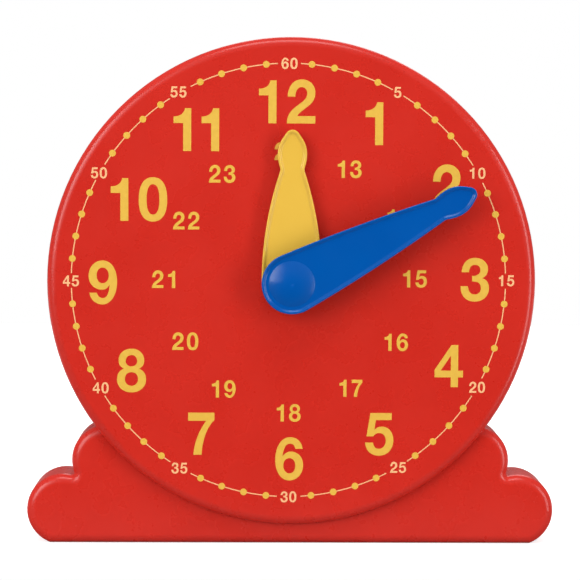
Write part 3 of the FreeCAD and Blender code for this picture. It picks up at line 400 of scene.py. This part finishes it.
def put_ink(name, loops, finish, proud_mm=INK_PROUD_MM):
    """A thin closed solid over outlines given in mm to the right of the axis and above it."""
    flat = bpy.data.curves.new(name, "CURVE")
    flat.dimensions, flat.fill_mode = "2D", "BOTH"
    flat.extrude = (proud_mm + INK_SUNK_MM) / 2
    for loop in loops:
        spline = flat.splines.new("POLY")
        spline.points.add(len(loop) - 1)
        depths_and_weights = np.zeros(len(loop)), np.ones(len(loop))
        spline.points.foreach_set("co", np.column_stack([loop, *depths_and_weights]).ravel())
        spline.use_cyclic_u = True
    drawing = bpy.data.objects.new(name + "_drawing", flat)
    bpy.context.scene.collection.objects.link(drawing)
    filled = drawing.evaluated_get(bpy.context.evaluated_depsgraph_get())
    mesh = bpy.data.meshes.new_from_object(filled)
    bpy.data.objects.remove(drawing)
    middle = DIAL_FACE - (proud_mm - INK_SUNK_MM) / 2 * MM
    stand_up = Matrix.Rotation(math.pi / 2, 4, "X") @ Matrix.Scale(MM, 4)
    mesh.transform(Matrix.Translation((0, middle, AXIS_UP)) @ stand_up)
    solid = bmesh.new()
    solid.from_mesh(mesh)
    bmesh.ops.remove_doubles(solid, verts=solid.verts, dist=MERGE_MM * MM)
    bmesh.ops.recalc_face_normals(solid, faces=solid.faces)
    solid.to_mesh(mesh)
    solid.free()
    mesh.name = name
    mesh.materials.clear()
    mesh.materials.append(finish)
    piece = bpy.data.objects.new(name, mesh)
    bpy.context.scene.collection.objects.link(piece)
    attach(piece, "case")
    print(name, len(loops), "outlines,", len(mesh.polygons), "faces")
    return piece


# %% [markdown]
# ## Screen-printing ink
#
# Screen ink is thick for an ink. It covers the red fully and dries to a slightly uneven satin
# film, yellow like the hour hand. The weave of the screen leaves a faint grid of ridges in it; at
# 0.08 mm it would never show, so it is left to a soft noise of half a millimetre. Fine lines take
# less ink and look paler.

# %% Inks
def screen_ink(name, darker, lighter):
    """Opaque ink: pigment blotches 3 mm wide, a levelling texture half a millimetre wide."""
    material, tree = new_finish(name)
    surface(tree, add(tree, "BsdfPrincipled", {
        "Base Color": shades(tree, blotches(tree, 3, 4.0), darker, lighter),
        "Roughness": spread(tree, blotches(tree, 2), 0.4, 0.5),
        "Normal": relief(tree, blotches(tree, 0.5), 0.002),
        "IOR": 1.5}))
    return material


ink = screen_ink("screen_printed_ink_yellow", "#e7b743", "#eebe4a")
fine_ink = screen_ink("screen_printed_ink_fine_line", "#fbbd84", "#fbc38d")
print("inks:", ink.name, "and", fine_ink.name)

# %% [markdown]
# ## Setting the figures
#
# The dial carries three sizes: the hours, the afternoon hours up to 24 inside them, and the
# minutes outside. Like the plate that the dial was printed from, each number has its own hand-set
# place, given here by its left edge and baseline from the axis. The step from a number's first
# figure to its second depends on the first, because a 1 is narrow; the open pair 21 has a step of
# its own.

# %% Places and steps, in mm
HOURS = {"12": (-19.7, 93.4), "1": (42.8, 81), "2": (82.1, 44.2), "3": (99.4, -10.3),
         "4": (84.6, -61.4), "5": (43.9, -101.9), "6": (-9.2, -116.8), "7": (-60.7, -102),
         "8": (-102.6, -64.7), "9": (-119.2, -12.8), "10": (-106.2, 36), "11": (-69.5, 77)}
AFTERNOON = {"13": (26.7, 61.7), "14": (56.1, 33.3), "15": (65.6, -2.5), "16": (54.9, -40),
             "17": (28.5, -67.3), "18": (-8.4, -82.1), "19": (-46.7, -68), "20": (-70.2, -39.9),
             "21": (-82.1, -3.4), "22": (-69.8, 31.1), "23": (-48.8, 58.6), "24": (-10.5, 71.9)}
MINUTES = {"60": (-6.6, 125.1), "5": (59.3, 108.6), "10": (104.2, 61.6), "15": (121.9, -1.5),
           "20": (105.1, -64.7), "25": (58.8, -112.5), "30": (-6, -130.2), "35": (-70.5, -113.2),
           "40": (-116.9, -65.7), "45": (-134.3, -2.6), "50": (-117.8, 60.8),
           "55": (-71.4, 108.2)}
SETTINGS = {
    "hour_figures": (HOURS, 1, {"1": 16.35}, ink),
    "afternoon_figures": (AFTERNOON, 0.405, {"1": 7.2, "2": 8.7, "21": 9.5}, ink),
    "minute_figures": (MINUTES, 0.256, {"1": 4.9, "": 5.15}, fine_ink),
}


def set_number(number, corner, size, steps):
    """The outlines of a number: each figure scaled, then moved to its place on the dial."""
    step = steps.get(number, steps.get(number[0], steps.get("")))
    return [loop * size + np.array(corner) + (step * at if at else 0, 0)
            for at, figure in enumerate(number) for loop in shapes[figure]]


for name, (corners, size, steps, finish) in SETTINGS.items():
    loops = [loop for number, corner in corners.items()
             for loop in set_number(number, corner, size, steps)]
    put_ink(name, loops, finish)

# %% [markdown]
# ## The minute track
#
# Between the minute figures a fine line runs round the dial, with a dot for every minute. It stops
# short of each figure. The track was printed 1.7 mm left of the hands' axis and 0.8 mm above it,
# and turned by a hair, as hand-fed printing does. A dot's edge is a circle. A stretch of line is
# the outer arc, then the inner arc back: both are the radius times the sine and cosine of the
# clock angle. The dots stand a little higher than the line, because the line runs on under them.

# %% Dots and line
TRACK_RADIUS, TRACK_CENTRE, TRACK_TURN = 127.64, np.array([-1.73, 0.83]), -0.18
DOT_RADIUS, DOT_PROUD_MM, LINE_WIDTH = 2.0, 0.08, 0.62
MINUTE_ANGLE = 6
DOT_POINTS, ARC_POINTS = 32, 40
# how far from each figure's angle the line stops before it and starts after it, in degrees
STOPS = {0: (3.0, 3.1), 5: (1.6, 1.6), 10: (2.3, 3.0), 15: (2.1, 1.9), 20: (3.3, 2.0),
         25: (3.3, 3.0), 30: (3.2, 3.1), 35: (3.1, 3.1), 40: (2.0, 3.0), 45: (1.8, 2.1),
         50: (2.3, 2.4), 55: (3.1, 3.2)}


def round_the_dial(degrees, radius):
    """Points at clock angles from the top, clockwise: radius times (sine, cosine)."""
    turn = np.radians(np.asarray(degrees) + TRACK_TURN)
    ways = np.stack([np.sin(turn), np.cos(turn)], axis=-1)
    return TRACK_CENTRE + ways * np.asarray(radius)[..., None]


minutes = np.array([m for m in range(60) if m % 5])
rim = np.linspace(0, math.tau, DOT_POINTS, endpoint=False)
circle = DOT_RADIUS * np.stack([np.cos(rim), np.sin(rim)], axis=-1)
dots = round_the_dial(MINUTE_ANGLE * minutes, TRACK_RADIUS)[:, None] + circle
put_ink("minute_dots", list(dots), ink, proud_mm=DOT_PROUD_MM)

starts = np.array([MINUTE_ANGLE * m + STOPS[m][1] for m in STOPS])
ends = np.array([MINUTE_ANGLE * (m + 5) - STOPS[(m + 5) % 60][0] for m in STOPS])
along = starts[:, None] + (ends - starts)[:, None] * np.linspace(0, 1, ARC_POINTS)
outer, inner = [round_the_dial(along, np.full(along.shape, TRACK_RADIUS + side * LINE_WIDTH / 2))
                for side in (1, -1)]
put_ink("minute_line", list(np.concatenate([outer, inner[:, ::-1]], axis=1)), fine_ink)

# %% [markdown]
# ## The camera
#
# The clock is seen as a pupil in the front row sees it: from the front, 8 cm above the hub and 2 cm
# to its left, through a long lens. Three turns aim the camera: to the side, down, and a slight
# roll. They are put together as the camera's own three axes, right, up and backwards, the columns
# of its matrix.

# %% Camera
def camera_axes(side, down, roll):
    """The camera's right, up and back directions for its three turns in degrees."""
    side, down, roll = map(math.radians, (side, down, roll))
    ahead = np.array([math.sin(side) * math.cos(down), math.cos(side) * math.cos(down),
                      -math.sin(down)])
    right = np.array([math.cos(side), -math.sin(side), 0.0])
    up = np.cross(right, ahead)
    level = math.cos(roll) * right + math.sin(roll) * up
    tilted = math.cos(roll) * up - math.sin(roll) * right
    return Matrix(np.column_stack([level, tilted, -ahead]).tolist())


def put_object(name, data, at, axes):
    """A new object in the scene, at a point, with its three axes given as a matrix."""
    made = bpy.data.objects.new(name, data)
    bpy.context.scene.collection.objects.link(made)
    made.matrix_world = Matrix.Translation(Vector(at)) @ axes.to_4x4()
    return made


CAMERA_AT = (-0.0219, -1.3, 0.2406)
CAMERA_TURNS = (0.94, 3.97, 0.289)
SENSOR_MM, LENS_MM = 36, 135.04
NEAREST, FARTHEST = 0.05, 60

lens = bpy.data.cameras.new("long_lens")
lens.sensor_width, lens.lens = SENSOR_MM, LENS_MM
lens.clip_start, lens.clip_end = NEAREST, FARTHEST
bpy.context.scene.camera = put_object("camera", lens, CAMERA_AT, camera_axes(*CAMERA_TURNS))
print("camera", -CAMERA_AT[1], "m in front, lens", round(lens.lens), "mm")

# %% [markdown]
# ## Floor, surroundings and lamps
#
# A white table in a studio that is light above, beside and behind the clock, and dark where the
# camera stands. Glossy plastic mirrors what is in front of it, so a dark front is what keeps red,
# blue and yellow deep. Table and backdrop are plain white to the camera and through anything
# clear. Gloss and metal see them too, at a lower strength, or white edges would eat into the
# outline of every piece, and the light that they throw on the clock stays modest. The table keeps
# the clock's soft shadow. It ends 8 cm in front of the hands, or the dial would mirror it.

# %% Floor
TABLE_HALF, TABLE_FRONT, TABLE_BACK = 2, -0.12, 1.5
# added to the table's own shade, this takes it to plain white for the camera
WHITE_LIFT = 0.65
# what gloss mirrors of the table: next to nothing at the clock's middle, more from 0.15 m behind it
POOL_REACH, POOL_NEAR, POOL_FAR = 0.15, 0.05, 0.6

floor_mesh = bpy.data.meshes.new("floor")
floor_mesh.from_pydata([(-TABLE_HALF, TABLE_FRONT, 0), (TABLE_HALF, TABLE_FRONT, 0),
                        (TABLE_HALF, TABLE_BACK, 0), (-TABLE_HALF, TABLE_BACK, 0)],
                       [], [(0, 1, 2, 3)])
floor = put_object("floor", floor_mesh, (0, 0, 0), Matrix.Identity(3))
material, tree = new_finish("white_table_top")
rays = add(tree, "LightPath").outputs
seen = add(tree, "Math", {0: rays["Is Camera Ray"], 1: rays["Is Transmission Ray"]},
           operation="MAXIMUM")
shade = add(tree, "BsdfDiffuse", {"Color": linear("#dcdcdc")})
glow = add(tree, "Emission", {"Strength": WHITE_LIFT})
white = add(tree, "AddShader", {0: shade.outputs[0], 1: glow.outputs[0]})
depth = add(tree, "SeparateXYZ", {0: add(tree, "TexCoord").outputs["Object"]}).outputs["Y"]
pool = add(tree, "MapRange", {"Value": depth, "From Min": 0.0, "From Max": POOL_REACH,
                              "To Min": POOL_NEAR, "To Max": POOL_FAR})
pooled = add(tree, "Emission", {"Strength": pool.outputs[0]})
dim = add(tree, "BsdfDiffuse", {"Color": linear("#c8c8c8")})
thrown = add(tree, "MixShader", {
    0: rays["Is Glossy Ray"], 1: dim.outputs[0], 2: pooled.outputs[0]})
surface(tree, add(tree, "MixShader", {
    0: seen.outputs[0], 1: thrown.outputs[0], 2: white.outputs[0]}))
floor_mesh.materials.append(material)
print("table:", material.name, "with", len(tree.nodes), "nodes")

# %% Surroundings
# light thrown from all but the dark side, and what gloss and metal mirror of the backdrop
AMBIENT, MIRRORED_BACKDROP = 0.84, 0.15
# how far backwards a direction points where the mirrored backdrop starts, and where it is full
MIRROR_START, MIRROR_FULL = -0.1, 0.4
# the dark side is a cone about the opposite of this direction: ahead of the dial and a little down
AWAY_FROM_DARK = (0, 1, 0.25)
# a direction times the one above: the heart of the dark side, and where full light begins
DARK_HEART, FULL_LIGHT = -1.0, -0.7

studio = bpy.data.worlds.new("studio")
bpy.context.scene.world = studio
studio.use_nodes = True
tree = studio.node_tree
tree.nodes.clear()
rays = add(tree, "LightPath").outputs
way = add(tree, "TexCoord").outputs["Generated"]
backwards = add(tree, "SeparateXYZ", {0: way}).outputs["Y"]
mirrored = add(tree, "MapRange", {
    "Value": backwards, "From Min": MIRROR_START, "From Max": MIRROR_FULL,
    "To Max": MIRRORED_BACKDROP}, interpolation_type="SMOOTHSTEP").outputs[0]
away = add(tree, "VectorMath", {0: way, 1: AWAY_FROM_DARK}, operation="DOT_PRODUCT")
around = add(tree, "MapRange", {
    "Value": away.outputs["Value"], "From Min": DARK_HEART, "From Max": FULL_LIGHT,
    "To Max": AMBIENT}, interpolation_type="SMOOTHSTEP").outputs[0]
lit = add(tree, "Mix", {"Factor": rays["Is Glossy Ray"], "A": around, "B": mirrored})
clear = add(tree, "Math", {0: rays["Is Camera Ray"], 1: rays["Is Transmission Ray"]},
            operation="MAXIMUM")
strength = add(tree, "Mix", {"Factor": clear.outputs[0], "A": lit.outputs["Result"], "B": 1.0})
sky = add(tree, "Background", {
    "Color": linear("#ffffff"), "Strength": strength.outputs["Result"]})
add(tree, "OutputWorld", {"Surface": sky.outputs[0]})
print("surroundings:", studio.name, "with", len(tree.nodes), "nodes")

# %% [markdown]
# ## Lamps
#
# Four softboxes do the modelling. A broad one at the upper left lights the rounded edges and the
# dome on the hub, a tall narrow one on the right draws the line along the right rim, one above the
# front draws the top of the case and the upward slopes of the hands' rims, and one behind keeps
# the back readable.
#
# A glossy dome mirrors a lamp as a hard-edged patch. Real softboxes are brighter near their bulb,
# so the key lamp fades across its width: full at its far end, faint at the end towards the camera.
# Its place across the lamp is the first of the two parametric coordinates.

# %% Lamps
def softbox(name, at, aim, size, power):
    """A rectangular lamp at a point, facing another, with its width and height in metres."""
    data = bpy.data.lights.new(name, "AREA")
    data.shape, data.size, data.size_y, data.energy = "RECTANGLE", *size, power
    facing = (Vector(aim) - Vector(at)).to_track_quat("-Z", "Y")
    return put_object(name, data, at, facing.to_matrix())


MIDDLE = (0, 0, 0.15)
KEY_FAR_END, KEY_NEAR_END = 3.0, 0.2

key = softbox("upper_left_softbox", (-1.2, -1.5, 0.8), MIDDLE, (1.5, 1.3), 11)
softbox("right_softbox", (1.5, -1.0, 0.25), (0, 0, 0.2), (0.45, 1.7), 12)
softbox("overhead_softbox", (0, -1.0, 2.8), MIDDLE, (1.6, 0.9), 20)
softbox("back_softbox", (0.3, 1.6, 1.2), MIDDLE, (1.2, 0.8), 6)

key.data.use_nodes = True
tree = key.data.node_tree
tree.nodes.clear()
where = add(tree, "NewGeometry").outputs["Parametric"]
across = add(tree, "SeparateXYZ", {0: where}).outputs["X"]
fade = add(tree, "MapRange", {"Value": across, "To Min": KEY_FAR_END, "To Max": KEY_NEAR_END},
           interpolation_type="SMOOTHSTEP")
glow = add(tree, "Emission", {"Strength": fade.outputs[0]})
add(tree, "OutputLight", {"Surface": glow.outputs[0]})
bpy.context.scene.view_settings.view_transform = "Standard"
print("lamps:", *(lamp.name for lamp in bpy.data.lights))
